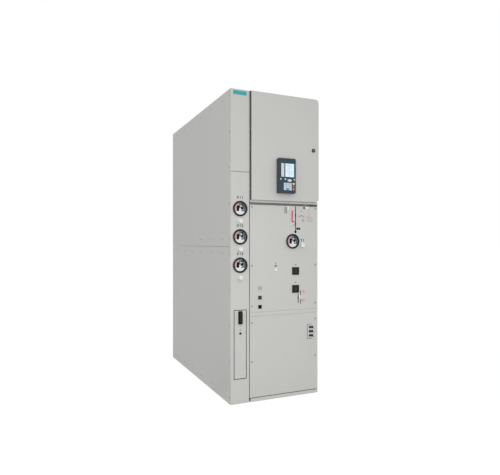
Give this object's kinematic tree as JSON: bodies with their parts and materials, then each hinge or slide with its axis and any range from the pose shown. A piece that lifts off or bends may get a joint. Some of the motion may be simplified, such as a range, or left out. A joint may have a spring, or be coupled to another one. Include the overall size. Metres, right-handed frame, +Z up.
{
  "type": "medium-voltage switchgear cabinet",
  "caption": "Free-standing medium-voltage switchgear cabinet with end column, gauges, hinged low-voltage door with bay controller, operating front and cable cover.",
  "frame": {"origin": "middle of the overall box on the floor", "axes": "X to the right seen from the front, Y from the front to the rear, Z up from the floor"},
  "size_m": [0.755, 1.683, 2.35],
  "materials": {
    "cabinet_paint": "fine light grey powder coat, satin",
    "frame_steel": "galvanised and painted profile",
    "inner_sheet": "smooth light grey sheet",
    "dark_steel": "black burnished steel",
    "hinge_zinc": "dull zinc plated hinge strip",
    "gauge_black": "satin black bezel",
    "dial_white": "matt printed dial",
    "pointer_black": "matt black",
    "clear_glass": "clear flat glass",
    "cap_white": "light moulded plastic",
    "black_plastic": "fine grained black plastic",
    "lock_metal": "dark metal, worn at the key slot",
    "plate_white": "smooth off-white plastic",
    "badge_teal": "bare teal plate",
    "relay_metal": "plain folded aluminium",
    "relay_slate": "fine grained slate plastic",
    "screen_glass": "pale blue lit display",
    "key_grey": "soft light grey keys",
    "key_colour": "soft coloured keys: amber, green and red",
    "rubber": "matt black seal rubber",
    "screw_zinc": "zinc plated screw heads",
    "mark_black": "black printed marks",
    "mark_red": "red printed marks",
    "mark_grey": "grey printed marks",
    "mark_white": "white printed fields",
    "dial_print": "coloured fields printed on the dials",
    "lamp_lens": "small lamp lenses, red and green"
  },
  "bodies": {
    "cabinet": {"base_rail_front": "cabinet_paint", "base_rail_rear": "frame_steel", "base_side_rails": "frame_steel", "column_post": "frame_steel", "panel_posts": "frame_steel", "closing_strip": "frame_steel", "gap_seals": "rubber", "left_wall_lower": "cabinet_paint", "left_wall_upper": "cabinet_paint", "right_wall_lower": "cabinet_paint", "right_wall_upper": "cabinet_paint", "rear_wall_lower": "cabinet_paint", "rear_wall_upper": "cabinet_paint", "roof": "cabinet_paint", "column_upper_cover": "cabinet_paint", "column_lower_cover": "cabinet_paint", "flap_pocket": "inner_sheet", "flap_hinge_leaf": "hinge_zinc", "badge_plate": "badge_teal", "busbar_gauge_1": "gauge_black", "busbar_gauge_2": "gauge_black", "busbar_gauge_3": "gauge_black", "breaker_gauge": "gauge_black", "gauge_dials": "dial_white", "gauge_pointers": "pointer_black", "gauge_glasses": "clear_glass", "filling_caps": "cap_white", "lv_sides": "inner_sheet", "lv_lips": "inner_sheet", "lv_top": "inner_sheet", "lv_floor": "cabinet_paint", "lv_back": "inner_sheet", "door_hinge_leaf": "dark_steel", "mechanism_cover": "cabinet_paint", "operating_shutters": "black_plastic", "push_buttons": "black_plastic", "position_window": "cabinet_paint", "charging_port": "cap_white", "cross_rail": "cabinet_paint", "cable_cover": "cabinet_paint", "test_socket_plate": "cabinet_paint", "test_sockets": "black_plastic"},
    "lv_door": {"lv_door": "cabinet_paint", "door_hinge_knuckles": "dark_steel", "relay_case": "relay_metal", "relay_front": "relay_slate", "relay_screen": "screen_glass", "relay_lamps": "plate_white", "relay_keys": "key_grey", "relay_command_keys": "key_colour", "door_lock": "lock_metal"},
    "column_flap": {"column_flap": "cabinet_paint", "flap_hinge_knuckles": "hinge_zinc", "flap_handle": "black_plastic", "flap_lock": "lock_metal"}
  },
  "joints": [
    {"name": "lv_door_hinge", "type": "hinge", "parent": "cabinet", "child": "lv_door", "pos_m": [-0.218, -0.7925, 1.938], "axis": [0, 0, -1], "range_deg": [0, 120]},
    {"name": "column_flap_hinge", "type": "hinge", "parent": "cabinet", "child": "column_flap", "pos_m": [-0.3483, -0.7849, 0.442], "axis": [0, 0, -1], "range_deg": [0, 110]}
  ]
}
